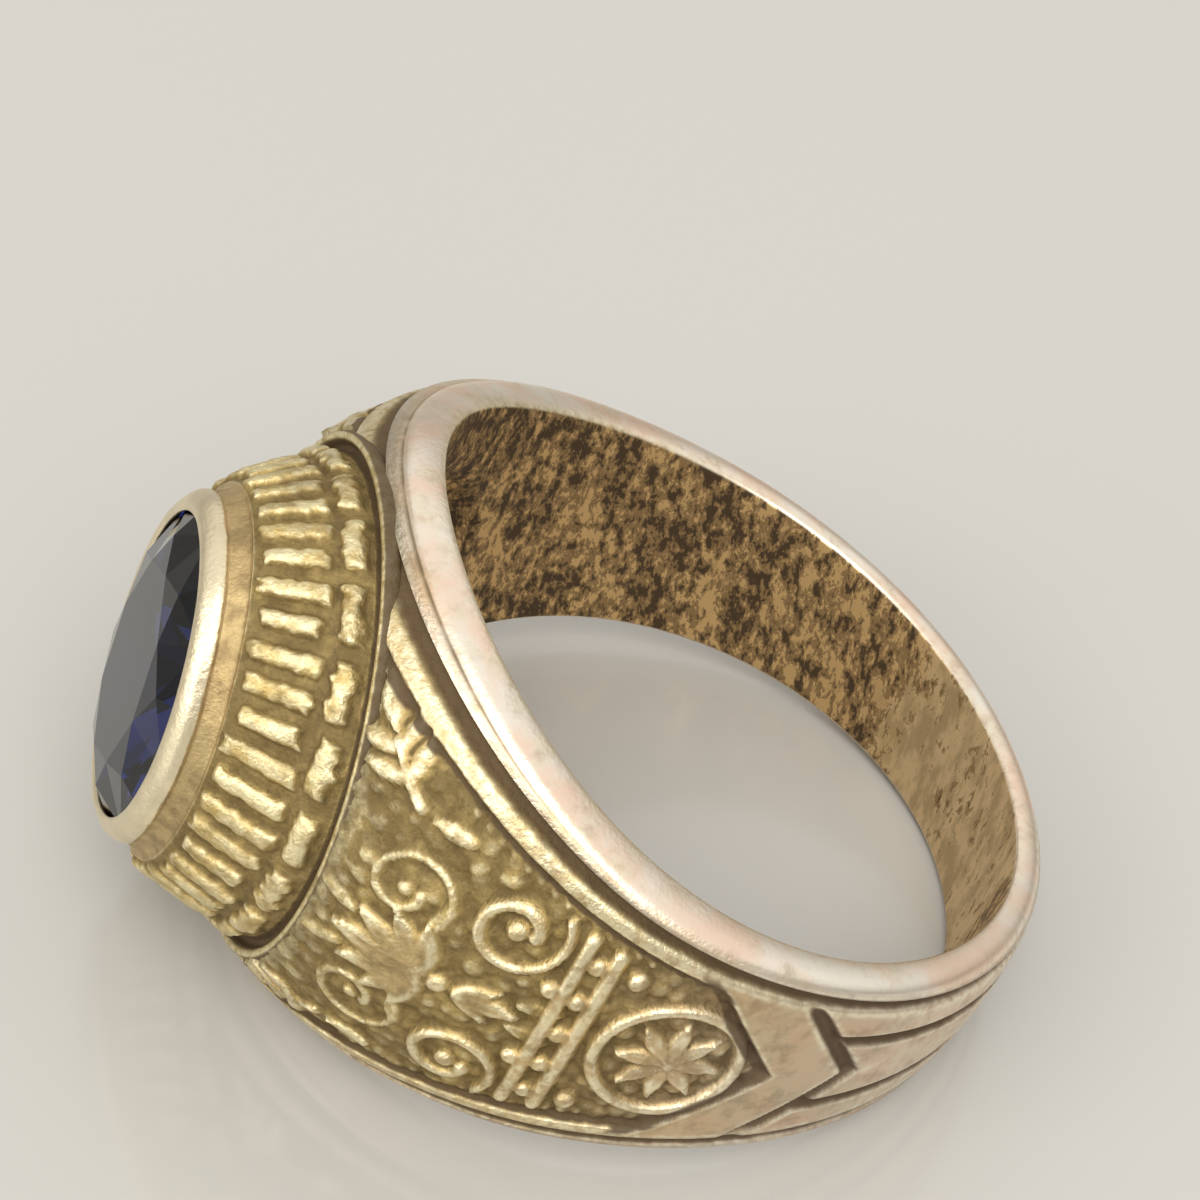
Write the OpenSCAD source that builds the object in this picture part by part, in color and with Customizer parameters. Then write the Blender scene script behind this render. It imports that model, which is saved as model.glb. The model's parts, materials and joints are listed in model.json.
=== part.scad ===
// Class ring lying on its side: one casting with an oval bezel, and the faceted stone it holds.
// In the ring's own frame +X runs to the head, Y across the finger and Z along the finger.
// The last step lays the ring down, so that the table is at zero and +Z is up.

/* [Band] */
// Diameter of the finger bore
bore_d = 19; // [17:0.1:22]
// Width of the band at the back of the finger
back_w = 4.4; // [3.6:0.1:6]
// Width of the band across the head
head_w = 14.6; // [13.6:0.1:17]
// Thickness of the rim where it is thickest, on the shoulders
rim_t = 1.42; // [1:0.05:1.8]
// Thickness of the band at the back, on its middle line
back_t = 1.1; // [1:0.05:2]
// Thickness that the shoulders swell to under the head
swell_t = 5.2; // [4.6:0.1:5.8]

/* [Borders and shank] */
// Width of the polished rim on the outer face
lip_w = 0.45; // [0.3:0.05:0.6]
// Width of each groove
groove_w = 0.26; // [0.16:0.02:0.32]
// Depth of each groove
groove_d = 0.28; // [0.1:0.02:0.36]
// Width of the raised line inside the rim
line_w = 0.4; // [0.25:0.05:0.5]
// Depth of the sunk field on the shoulders
field_d = 0.34; // [0.2:0.02:0.45]

/* [Chevron] */
// Angle of the chevron's tip from the head
chevron_tip = 106; // [100:1:114]
// Angle that the chevron's band takes along the ring
chevron_band = 12.5; // [8:0.5:15]
// Angle by which the arms run back towards the head
chevron_rake = 13.5; // [8:0.5:17]

/* [Head] */
// Height of the bezel's lip over the middle of the bore
bezel_h = 15.2; // [14.9:0.1:15.8]
// Height of the collar of metal round the stone
collar_h = 1.1; // [0.8:0.05:1.4]
// How far the collar widens down to its base
collar_flare = 0.3; // [0.1:0.05:0.5]
// Width of metal outside the stone at the lip
lip_t = 0.28; // [0.2:0.02:0.5]
// How far the lip closes over the stone
lip_over = 0.24; // [0.15:0.01:0.3]
// Thickness of the lip's inner edge
lip_edge = 0.12; // [0.08:0.01:0.2]
// Height of the head's foot over the middle of the bore
foot_h = 11.3; // [11.1:0.1:11.7]
// Size of the head's foot across the finger
foot_across = 13; // [12.4:0.1:14.4]
// Size of the head's foot along the finger
foot_along = 12.8; // [12.2:0.1:13.2]
// Number of dashes in the row round the foot, with two bars over each
dashes = 20; // [14:1:24]
// Height of the bars and dashes over their ground
bar_h = 0.28; // [0.15:0.01:0.4]
// Size of the hollow behind the head, across the finger
hollow_across = 16.4; // [14:0.1:16.6]
// Size of the hollow behind the head, along the finger
hollow_along = 11.4; // [9:0.1:11.6]
// Height of the hollow's roof over the middle of the bore
hollow_h = 11.2; // [10.4:0.1:11.4]

/* [Stone] */
// Size of the stone along the finger
stone_l = 9.4; // [8.6:0.1:9.8]
// Size of the stone across the finger
stone_w = 7.6; // [7.2:0.1:8.4]
// Height of the crown over the girdle
crown_h = 0.7; // [0.5:0.05:1]
// Height of the girdle
girdle_h = 0.3; // [0.2:0.05:0.4]
// Depth of the pavilion under the girdle
pavilion_h = 2.3; // [1.6:0.1:2.5]
// Width of the crown round the table
crown_w = 1.6; // [1.3:0.05:1.8]
// Clearance between the stone and its seat
stone_gap = 0.06; // [0.03:0.01:0.1]

/* [Relief] */
// Height of the relief over the field
relief_h = 0.36; // [0.16:0.02:0.4]
// Width of the raised strokes
stroke_w = 0.4; // [0.25:0.01:0.45]
// Length of the sprigs' leaves
leaf_l = 1.6; // [1.1:0.1:1.8]
// Radius of the round medallion
medal_r = 1.9; // [1.4:0.05:2]

/* [Hidden] */

bore_r = bore_d / 2;
// Share of the taper that runs evenly from the back to the head, and the powers of the curves
even_share = 0.48;
flare_power = 4;
swell_power = 4;
dome_power = 2.2;
// Skin inside the bore that the true bore cuts away, and depth by which raised pieces are rooted
skin = 0.6;
root = 0.25;
// Sections round the band, and columns round the head
band_sections = 60;
head_columns = 56;

function mix(a, b, s) = a + (b - a) * s;
function ease(s) = let (c = min(max(s, 0), 1)) c * c * (3 - 2 * c);

// Outer face of the band: an angle from the head, and a place along the finger
function near(a) = (1 + cos(a)) / 2;
function fold(a) = abs(a - 360 * round(a / 360));
function half_w(a) =
    mix(back_w, head_w, mix(pow(near(a), flare_power), near(a), even_share)) / 2;
// Angle from the head, and the rim's thickness there as a share of rim_t
RIM = [[0, 0.78], [30, 0.84], [65, 1], [92, 0.78], [130, 0.62], [180, 0.53]];
function rim_r(a) = bore_r + rim_t * lookup(fold(a), RIM);
function crown_r(a) = bore_r + mix(back_t, swell_t, pow(near(a), swell_power));
function face_r(a, w) =
    mix(crown_r(a), rim_r(a), pow(min(abs(w) / half_w(a), 1), dome_power));
function at(a, r, w) = [r * cos(a), r * sin(a), w];
// The shank's ridges take over from the shoulder's field under the chevron
function shank_share(a) = ease((fold(a) - chevron_tip + chevron_rake) / chevron_rake);

// Rounded side of the rim: share of the rim's thickness, and inset as a share of lip_w
SIDE = [[0.08, 0.05], [0.35, 0], [0.68, 0.12], [0.92, 0.5]];
lip_in = lip_w + groove_w;
field_in = lip_in + line_w + groove_w / 2;
// Outer face beside the rim: inset from the side, depth on the shoulder, depth on the shank
EDGE = [
    [lip_w, 0, 0],
    [lip_w + groove_w / 3, groove_d, groove_d],
    [lip_w + groove_w * 2 / 3, groove_d, groove_d],
    [lip_in, 0, 0.04],
    [lip_in + line_w, 0, 0],
    [field_in, field_d, 0]
];
// Rest of the outer face: share of the field's half width, and the same two depths
FIELD = [
    [0.86, field_d, 0],
    [0.78, field_d, 0],
    [0.7, field_d, groove_d],
    [0.62, field_d, groove_d],
    [0.54, field_d, 0],
    [0, field_d, 0]
];

function depth(row, a) = mix(row[1], row[2], shank_share(a));
function side_half(a) = [for (s = SIDE) [mix(bore_r, rim_r(a), s[0]), half_w(a) - s[1] * lip_w]];
function half_section(a) = let (hw = half_w(a), field = hw - field_in) [
    [bore_r - skin, hw - skin / 2],
    each side_half(a),
    for (e = EDGE) [face_r(a, hw - e[0]) - depth(e, a), hw - e[0]],
    for (f = FIELD) [face_r(a, f[0] * field) - depth(f, a), f[0] * field]
];
function section(a) = let (h = half_section(a)) [
    for (p = h) p,
    for (i = [len(h) - 2:-1:0]) [h[i][0], -h[i][1]]
];

// Faces over rings of n points, and a flat cap over one ring
function skin_faces(rings, n, closed = false) = [
    for (i = [0:(closed ? rings - 1 : rings - 2)], j = [0:n - 1])
        let (i2 = (i + 1) % rings, j2 = (j + 1) % n,
            a = i * n + j, b = i * n + j2, c = i2 * n + j2, d = i2 * n + j)
        each [[a, c, b], [a, d, c]]
];
function cap(first, n, flip = false) = [[for (k = [0:n - 1]) first + (flip ? n - 1 - k : k)]];
function capped(rings, n) =
    concat(skin_faces(rings, n), cap(0, n), cap((rings - 1) * n, n, true));

module band() {
    step = 360 / band_sections;
    sections = [for (i = [0:band_sections - 1]) section(i * step)];
    polyhedron(
        [for (i = [0:band_sections - 1], p = sections[i]) at(i * step, p[0], p[1])],
        skin_faces(band_sections, len(sections[0]), closed = true)
    );
}

// Ovals of the head: half size across the finger, half size along it, height
lip = [stone_w / 2 + lip_t, stone_l / 2 + lip_t, bezel_h];
collar = [lip[0] + collar_flare, lip[1] + collar_flare, bezel_h - collar_h];
foot = [foot_across / 2, foot_along / 2, foot_h];
function grow(oval, out, up) = [oval[0] + out, oval[1] + out, oval[2] + up];
slope_top = grow(collar, groove_w / 2, 0);
function between(s) = [for (i = [0:2]) mix(foot[i], slope_top[i], s)];

// The girdle sits on a ledge, and the lip closes over it
function inside(gap, up) = [stone_w / 2 + gap, stone_l / 2 + gap, up];
girdle_top = bezel_h - lip_edge - lip_over * crown_h / crown_w - stone_gap;
girdle_low = girdle_top - girdle_h;
culet_share = 0.12;
function pavilion_oval(gap, share) =
    [for (half = [stone_w, stone_l]) half / 2 * mix(culet_share, 1, share) + gap];

module oval_loft(ovals, columns = head_columns) {
    polyhedron(
        [for (o = ovals, k = [0:columns - 1]) let (c = k * 360 / columns)
            [o[2], o[0] * cos(c), o[1] * sin(c)]],
        capped(len(ovals), columns)
    );
}

// The head from its root in the band up to the lip; the moat and the ridge round it stand outside
ridge_w = 0.36;
module head() {
    oval_loft([
        grow(foot, groove_w + ridge_w - root, -5 * root),
        grow(foot, groove_w + ridge_w, -root),
        grow(foot, groove_w + ridge_w * 0.8, 0),
        grow(foot, groove_w + ridge_w * 0.2, 0),
        grow(foot, groove_w * 0.7, -groove_d),
        grow(foot, groove_w * 0.3, -groove_d),
        grow(foot, 0, 0),
        between(0.1),
        between(0.35),
        slope_top,
        collar,
        grow(lip, 0.06, -0.45 * collar_h),
        grow(lip, -0.25 * lip_t, -0.18 * collar_h),
        grow(lip, -0.9 * lip_t, 0),
        grow(lip, -lip_t - 0.7 * lip_over, 0)
    ]);
}

// Raised bars round an oval band; between them this solid lies under the ground
SLOPE = [0.8, 0.6];
module comb(low, high, count, share, end) {
    columns = [for (k = [0:count - 1], e = [[0, 0], [0.12, 1], [share, 1], [share + 0.12, 0]])
        [(k + e[0]) * 360 / count, e[1]]];
    rows = [[end / 2, 0], [end, 1], [1 - end, 1], [1 - end / 2, 0]];
    points = [for (r = rows, c = columns)
        let (lift = mix(-root, bar_h, r[1] * c[1]), out = lift * SLOPE[0], up = lift * SLOPE[1])
        [
            mix(low[2], high[2], r[0]) + up,
            (mix(low[0], high[0], r[0]) + out) * cos(c[0]),
            (mix(low[1], high[1], r[0]) + out) * sin(c[0])
        ]];
    polyhedron(points, capped(len(rows), len(columns)));
}

module hollow() {
    half = [hollow_across / 2, hollow_along / 2];
    // Share of the half size, and height as a share of the roof's
    rows = [[1, 0.25], [1, 0.6], [0.88, 0.8], [0.7, 0.95], [0.5, 1]];
    oval_loft([for (r = rows) [half[0] * r[0], half[1] * r[0], hollow_h * r[1]]], 36);
}

module seat() {
    oval_loft([
        concat(pavilion_oval(stone_gap, 0), [girdle_low - pavilion_h - 2 * stone_gap]),
        concat(pavilion_oval(stone_gap, 0.92), [girdle_low - 0.08 * pavilion_h - 2 * stone_gap]),
        inside(stone_gap, girdle_low - stone_gap),
        inside(stone_gap, girdle_top + stone_gap),
        inside(-lip_over, bezel_h - lip_edge),
        inside(-lip_over, bezel_h + 1)
    ]);
}

// Raised pieces on the shoulder's field. A place is [along the ring from the head, along the finger]
field_r = bore_r + back_t + 0.6;
function on_field(p, lift) = let (a = p[0] / field_r * 180 / PI)
    at(a, face_r(a, p[1]) - field_d + lift, p[1]);
deg = field_r * PI / 180;
function place(angle, share) = [angle * deg, share * (half_w(angle) - field_in)];
function turn(p, a) = [p[0] * cos(a) - p[1] * sin(a), p[0] * sin(a) + p[1] * cos(a)];

// A raised band between two edges of equally many places
module ribbon(left, right, lift, closed = false) {
    points = [for (i = [0:len(left) - 1]) each [
        on_field(left[i], -root), on_field(left[i], lift),
        on_field(right[i], lift), on_field(right[i], -root)
    ]];
    polyhedron(points, closed ? skin_faces(len(left), 4, closed = true) : capped(len(left), 4));
}

// A raised stroke along places, tapering to the given shares of its width at its ends
module stroke(path, width = stroke_w, first = 1, last = 1, closed = false) {
    n = len(path);
    sides = [for (i = [0:n - 1])
        let (p = path[closed ? (i + n - 1) % n : max(i - 1, 0)],
            q = path[closed ? (i + 1) % n : min(i + 1, n - 1)],
            d = (q - p) / norm(q - p), w = width / 2 * mix(first, last, i / (n - 1)))
        [-d[1] * w, d[0] * w]];
    ribbon(path + sides, path - sides, relief_h, closed);
}

// A raised boss inside an outline, with its middle higher than its edge
module boss(outline, middle) {
    n = len(outline);
    polyhedron(
        concat(
            [for (p = outline) on_field(p, -root)],
            [for (p = outline) on_field(p, relief_h * 0.6)],
            [on_field(middle, relief_h * 1.15)]
        ),
        concat(
            [for (i = [0:n - 1]) [i, (i + 1) % n, n + (i + 1) % n, n + i]],
            [for (i = [0:n - 1]) [n + i, n + (i + 1) % n, 2 * n]],
            cap(0, n, true)
        )
    );
}

module leaf(stem, angle, size = 1) {
    edge = [[0, 0.08], [0.3, 0.2], [0.62, 0.2], [1, 0]];
    outline = concat(edge, [for (i = [2:-1:0]) [edge[i][0], -edge[i][1]]]);
    boss([for (e = outline) stem + turn(e * leaf_l * size, angle)],
        stem + turn([0.55, 0] * leaf_l * size, angle));
}

module bead(middle) {
    boss([for (k = [7:-1:0]) middle + turn([stroke_w * 0.75, 0], k * 45)], middle);
}

// Leaves that spread from one place, the outer ones shorter
module fan(middle, toward, count, spread, size) {
    for (k = [0:count - 1]) let (side = 2 * k / (count - 1) - 1)
        leaf(middle, toward + spread / 2 * side, size * (1 - 0.3 * abs(side)));
}

module chevron() {
    arm = [for (i = [-6:6]) i / 6];
    reach = half_w(chevron_tip - chevron_rake) - lip_in;
    function edge_at(tip) = [for (s = arm) [(tip - chevron_rake * abs(s)) * deg, -s * reach]];
    ribbon(edge_at(chevron_tip), edge_at(chevron_tip - chevron_band), field_d);
}

// A leaf sprig beside the head, with its tip in the corner between the head and the border
module sprig() {
    stem = [place(37, 0.78), place(34, 0.82), place(31, 0.87), place(28.5, 0.91)];
    d = stem[3] - stem[0];
    angle = atan2(d[1], d[0]);
    stroke(stem, stroke_w * 0.7, 1, 0.6);
    leaf(stem[3], angle, 0.9);
    for (k = [1:2], side = [-1, 1]) leaf(stem[k], angle + side * 42, 0.75);
}

module palmette() {
    fan(place(47, 0), 180, 7, 150, 1.45);
    fan(place(50.5, 0), 0, 3, 56, 1.05);
    bead(place(48.7, 0));
}

module volute() {
    eye = place(53.5, 0.62);
    turns = 9;
    stroke([for (k = [0:turns]) eye + turn([mix(1.25, 0.45, k / turns), 0], 40 - k * 44)], stroke_w, 0.7);
    bead(eye);
}

// Two bars across the shoulder with a row of beads between them
module beaded_bars() {
    for (angle = [61.8, 65.8])
        stroke([for (share = [-0.86, 0, 0.86]) place(angle, share)], stroke_w * 1.1);
    for (share = [-0.7:0.35:0.7]) bead(place(63.8, share));
}

module medallion() {
    middle = place(78.5, 0);
    petals = 8;
    rim_points = 20;
    stroke([for (k = [rim_points - 1:-1:0]) middle + turn([medal_r, 0], k * 360 / rim_points)],
        closed = true);
    for (k = [0:petals - 1]) let (a = k * 360 / petals) leaf(middle + turn([0.12, 0], a), a, 0.85);
    bead(middle);
}

module shoulder_relief() {
    chevron();
    palmette();
    beaded_bars();
    medallion();
    for (m = [0, 1]) mirror([0, 0, m]) {
        sprig();
        volute();
        leaf(place(44.5, 0.85), 180, 0.75);
        bead(place(60.3, 0.36));
        bead(place(69.2, 0.74));
    }
}

module ring_solid() {
    difference() {
        union() {
            band();
            head();
            comb(between(0.3), between(1), 2 * dashes, 0.5, 0.1);
            comb(between(0.02), between(0.28), dashes, 0.8, 0.2);
            shoulder_relief();
            mirror([0, 1, 0]) shoulder_relief();
        }
        cylinder(h = head_w + 2, r = bore_r, center = true, $fn = 180);
        hollow();
        seat();
    }
}

// Oval brilliant: rings of eight corners and a sixteen-sided girdle
function stone_ring(count, inset, share, height, first = 0) = [
    for (k = [0:count - 1]) let (c = first + k * 360 / count)
        [height, (stone_w / 2 - inset) * share * cos(c), (stone_l / 2 - inset) * share * sin(c)]
];
table_ring = stone_ring(8, crown_w, 1, girdle_top + crown_h);

module stone_solid() {
    // The star facets' corners, at this share of the crown's width in from the girdle
    star = 0.55;
    lower = 0.55;
    points = concat(
        table_ring,
        stone_ring(8, crown_w * star, 1, girdle_top + crown_h * 0.8, 22.5),
        stone_ring(16, 0, 1, girdle_top),
        stone_ring(16, 0, 1, girdle_low),
        stone_ring(8, 0, lower, girdle_low - pavilion_h * (1 - lower * cos(22.5)), 22.5),
        [[girdle_low - pavilion_h, 0, 0]]
    );
    faces = concat(
        [[for (k = [7:-1:0]) k]],
        [for (k = [0:7]) let (next = (k + 1) % 8, last = (k + 7) % 8) each [
            [k, next, 8 + k],
            [k, 8 + k, 16 + 2 * k, 8 + last],
            [8 + k, 17 + 2 * k, 16 + 2 * k],
            [8 + k, 16 + 2 * next, 17 + 2 * k],
            [48 + k, 32 + 2 * k, 33 + 2 * k],
            [48 + k, 33 + 2 * k, 32 + 2 * next],
            [56, 48 + last, 32 + 2 * k, 48 + k]
        ]],
        [for (k = [0:15]) [16 + k, 16 + (k + 1) % 16, 32 + (k + 1) % 16, 32 + k]]
    );
    polyhedron(points, faces);
}

// Lying at rest: the head is raised until both ends of the lower rim touch the table
function side_r(a) = mix(bore_r, rim_r(a), SIDE[1][0]);
tilt = atan((head_w - back_w) / 2 / (side_r(0) + side_r(180)));
function laid(p) = [p[0] * cos(tilt) - p[2] * sin(tilt), p[1], p[0] * sin(tilt) + p[2] * cos(tilt)];
rim_points = [for (a = [0:5:355], s = side_half(a)) laid(at(a, s[0], -s[1]))];
back_points = [for (p = section(180)) laid(at(180, p[0], p[1]))];
front_x = max([for (p = table_ring) laid(p)[0]]);
back_x = min([for (p = back_points) p[0]]);
floor_z = min([for (p = rim_points) p[2]]);
module lay() {
    translate([-(front_x + back_x) / 2, 0, -floor_z]) rotate([0, -tilt, 0]) children();
}

module ring_body() color("khaki") lay() ring_solid();
module stone() color("midnightblue") lay() stone_solid();

ring_body();
stone();
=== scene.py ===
# %% [markdown]
# # A worn class ring on a pale table
#
# The real ring is one silver casting with a sunk ornament on each shoulder, an oval head with raised
# bars, and a dark blue oval stone under a rubbed-over lip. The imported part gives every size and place.
# This script dresses it: a finer skin for the casting, worn and darkened silver, a polished stone, a
# glossy table, soft light and the camera.

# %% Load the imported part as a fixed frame
import json
import math

import bpy
import numpy as np
from mathutils import Matrix, Vector


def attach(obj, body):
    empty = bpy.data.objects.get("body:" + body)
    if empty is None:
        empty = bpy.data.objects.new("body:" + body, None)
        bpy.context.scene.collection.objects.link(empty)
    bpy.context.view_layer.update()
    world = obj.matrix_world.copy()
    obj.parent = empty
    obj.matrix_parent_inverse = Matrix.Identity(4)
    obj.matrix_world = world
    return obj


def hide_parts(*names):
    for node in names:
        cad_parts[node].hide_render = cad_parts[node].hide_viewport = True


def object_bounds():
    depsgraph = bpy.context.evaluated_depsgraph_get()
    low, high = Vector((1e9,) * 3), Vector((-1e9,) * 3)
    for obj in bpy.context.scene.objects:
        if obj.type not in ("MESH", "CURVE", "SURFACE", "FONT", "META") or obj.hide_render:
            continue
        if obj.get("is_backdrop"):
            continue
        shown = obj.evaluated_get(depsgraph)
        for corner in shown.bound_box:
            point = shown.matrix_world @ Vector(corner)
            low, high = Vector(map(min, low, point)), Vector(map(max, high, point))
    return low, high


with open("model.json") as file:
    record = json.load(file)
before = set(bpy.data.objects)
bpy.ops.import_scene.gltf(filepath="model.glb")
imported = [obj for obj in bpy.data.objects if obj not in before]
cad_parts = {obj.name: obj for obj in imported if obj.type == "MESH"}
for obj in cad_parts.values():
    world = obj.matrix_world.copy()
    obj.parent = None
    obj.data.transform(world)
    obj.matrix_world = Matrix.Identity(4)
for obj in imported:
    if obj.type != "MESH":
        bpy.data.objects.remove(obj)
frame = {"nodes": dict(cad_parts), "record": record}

CAD_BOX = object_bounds()
MM = 0.001
print("nodes:", sorted(frame["nodes"]))

# %% [markdown]
# ## Where the ring lies
#
# The ring lies on its side and leans on the wide rim of its head. The record's bore says where the
# finger's axis is, so the ring's own frame comes from there: X runs to the head, Y across the finger and
# Z along the finger, in millimetres. Every form below is worked out in that frame and laid down once.

# %% The ring's own frame
finger = next(m for m in frame["record"]["mounts"] if m["name"] == "finger_bore")
BORE_R = finger["dims"]["r_mm"]
BORE_AT = np.array(finger["pos_m"]) / MM
ACROSS = np.array([0.0, 1.0, 0.0])
ALONG = np.array(finger["axis"]) / np.linalg.norm(finger["axis"])
TO_HEAD = np.cross(ACROSS, ALONG)


def laid(x, y, z):
    """Places in the ring's frame, in mm, as places on the table, in metres."""
    ring = BORE_AT + x[..., None] * TO_HEAD + y[..., None] * ACROSS + z[..., None] * ALONG
    return ring * MM


print(f"bore radius {BORE_R} mm, lean {math.degrees(math.acos(ALONG[2])):.1f} degrees")

# %% [markdown]
# ## The band's sizes
#
# A cast ring is drawn as a section carried round the finger. These are the part's own sizes, in
# millimetres: how wide and thick the band is at the back, on the shoulders and under the head, and the
# lines that run along its edge. The chevron's sizes are degrees round the finger. In every function
# below, angle is in degrees round the finger from the head, and w is in mm across the band from its
# middle line.

# %% Sizes of the band
BACK_W, HEAD_W = 4.4, 14.6
RIM_T, BACK_T, SWELL_T = 1.42, 1.1, 5.2
LIP_W, GROOVE_W, GROOVE_D, LINE_W, FIELD_D = 0.45, 0.26, 0.28, 0.4, 0.34
LIP_IN = LIP_W + GROOVE_W
FIELD_IN = LIP_IN + LINE_W + GROOVE_W / 2
CHEVRON_TIP, CHEVRON_BAND, CHEVRON_RAKE = 106, 12.5, 13.5
SHANK_LINE, SHANK_LINE_W = 0.66, 0.2
RIM_ANGLES = [0, 30, 65, 92, 130, 180]
RIM_SHARES = [0.78, 0.84, 1, 0.78, 0.62, 0.53]
# How evenly the width falls off, how fast the shoulders swell, and how round the face is across
EVEN_SHARE, SWELL_POWER, DOME_POWER = 0.48, 4, 2.2

# %% The outer face of the band
def mix(a, b, share):
    return a + (b - a) * share


def ease(share):
    share = np.clip(share, 0, 1)
    return share * share * (3 - 2 * share)


def near(angle):
    """1 at the head and 0 at the back of the finger."""
    return (1 + np.cos(np.radians(angle))) / 2


def half_width(angle):
    return mix(BACK_W, HEAD_W, mix(near(angle) ** SWELL_POWER, near(angle), EVEN_SHARE)) / 2


def rim_radius(angle):
    """The rim's radius: the given shares, rounded over 6 degrees each way."""
    turns = [np.interp(np.abs(angle + d), RIM_ANGLES, RIM_SHARES) for d in np.linspace(-6, 6, 7)]
    return BORE_R + RIM_T * np.mean(turns, axis=0)


def face_radius(angle, w):
    crown = BORE_R + mix(BACK_T, SWELL_T, near(angle) ** SWELL_POWER)
    return mix(crown, rim_radius(angle), np.minimum(np.abs(w) / half_width(angle), 1) ** DOME_POWER)


for where, angle in (("back", 180), ("shoulder", 60), ("head", 0)):
    print(f"width at the {where}: {2 * half_width(angle):.1f} mm")

# %% [markdown]
# ## Drawing the shoulder ornament
#
# The ornament is cast, so it is raised a third of a millimetre and its edges are round. A height map does
# this well: the shoulder is unrolled flat, each motif is a small function that says how high it stands at
# a place, and the highest one wins. The map takes u, the distance from the head, and v, the distance from
# the middle line, without sign, so one drawing serves all four quarters.

# %% Round-edged height shapes
RELIEF_H, STROKE_W, LEAF_L, MEDAL_R = 0.36, 0.4, 1.6, 1.9
SOFT_EDGE, VEIN_W, VEIN_D = 0.17, 0.09, 0.22
# Half the width of a leaf at a few places along it, both as shares of its length
LEAF_ALONG = [0, 0.15, 0.3, 0.46, 0.62, 0.85, 1]
LEAF_HALF = [0.1, 0.17, 0.21, 0.225, 0.2, 0.1, 0.01]
PER_DEGREE = (BORE_R + BACK_T + 0.6) * math.pi / 180


def place(angle, share):
    """A place on the unrolled shoulder: mm from the head, and mm from the middle line."""
    return np.array([angle * PER_DEGREE, share * (half_width(angle) - FIELD_IN)])


def turned(x, y, angle):
    c, s = math.cos(math.radians(angle)), math.sin(math.radians(angle))
    return x * c - y * s, x * s + y * c


def edge(outside):
    """1 well inside a shape and 0 outside it, with a round shoulder between."""
    return ease(0.5 - outside / SOFT_EDGE)


def stroke(u, v, path, width=STROKE_W, first=1.0, last=1.0, closed=False):
    """A round-topped line along a path. First and last say how wide it is at its ends."""
    height = np.zeros_like(u)
    ends = list(zip(path, path[1:] + (path[:1] if closed else [])))
    for i, (p, q) in enumerate(ends):
        step = q - p
        along = np.clip(((u - p[0]) * step[0] + (v - p[1]) * step[1]) / (step @ step), 0, 1)
        gap = np.hypot(u - p[0] - along * step[0], v - p[1] - along * step[1])
        half = width / 2 * mix(first, last, (i + along) / len(ends))
        crown = 0.6 + 0.45 * np.sqrt(np.clip(1 - (gap / half) ** 2, 0, 1))
        height = np.maximum(height, edge(gap - half) * crown)
    return height


def leaf(u, v, stem, angle, size=1.0):
    """A pointed leaf that starts at its stem, with a ridge and a sunk vein."""
    length = LEAF_L * size
    x, y = turned(u - stem[0], v - stem[1], -angle)
    half = length * np.interp(x / length, LEAF_ALONG, LEAF_HALF)
    outside = np.maximum(np.abs(y) - half, np.maximum(-x, x - length))
    ridge = 0.62 + 0.5 * np.clip(1 - np.abs(y) / half, 0, 1)
    vein = VEIN_D * np.exp(-((y / VEIN_W) ** 2)) * ease(x / length * 3) * ease((0.9 * length - x) * 3)
    return edge(outside) * (ridge - vein)


def bead(u, v, middle, radius=STROKE_W * 0.75):
    gap = np.hypot(u - middle[0], v - middle[1])
    return 1.12 * np.sqrt(np.clip(1 - (gap / radius) ** 2, 0, 1)) ** 0.7


print(f"the shoulder is unrolled at {PER_DEGREE:.3f} mm for each degree")

# %% The motifs
def sprig(u, v):
    """A stem with five leaves in the corner by the head."""
    stem = [place(37, 0.78), place(34, 0.82), place(31, 0.87), place(28.5, 0.91)]
    du, dv = stem[3] - stem[0]
    angle = math.degrees(math.atan2(dv, du))
    shapes = [stroke(u, v, stem, STROKE_W * 0.7, 1, 0.6), leaf(u, v, stem[3], angle, 0.9)]
    for k in (1, 2):
        for side in (-1, 1):
            shapes.append(leaf(u, v, stem[k], angle + side * 42, 0.75))
    return shapes


def fan(u, v, middle, toward, count, spread, size):
    """Leaves that spread from one place, the outer ones shorter."""
    shapes = []
    for k in range(count):
        side = 2 * k / (count - 1) - 1
        shapes.append(leaf(u, v, middle, toward + spread / 2 * side, size * (1 - 0.3 * abs(side))))
    return shapes


def palmette(u, v):
    """A large fan towards the head and a small one away from it."""
    shapes = fan(u, v, place(47, 0), 180, 7, 150, 1.45) + fan(u, v, place(50.5, 0), 0, 3, 56, 1.05)
    return shapes + [bead(u, v, place(48.7, 0))]


def volute(u, v):
    """A scroll that winds in to a bead."""
    eye, turns = place(53.5, 0.62), 36
    path = []
    for k in range(turns + 1):
        radius = mix(1.25, 0.45, k / turns)
        path.append(eye + np.array(turned(radius, 0, 40 - k * 396 / turns)))
    return [stroke(u, v, path, STROKE_W, 0.7), bead(u, v, eye)]


def tendril(u, v):
    """A low scroll with small leaves between the sprig and the palmette."""
    eye, turns = place(40.6, 0.42), 32
    path = []
    for k in range(turns + 1):
        path.append(eye + np.array(turned(mix(1.15, 0.35, k / turns), 0, -30 + k * 400 / turns)))
    shapes = [stroke(u, v, path, STROKE_W * 0.8, 0.7), bead(u, v, eye, 0.22)]
    shapes.append(leaf(u, v, place(37.6, 0.12), 165, 0.7))
    shapes.append(leaf(u, v, place(46.5, 0.5), 250, 0.7))
    shapes.append(leaf(u, v, place(57.6, 0.1), 10, 0.75))
    return [0.7 * shape for shape in shapes]


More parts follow.
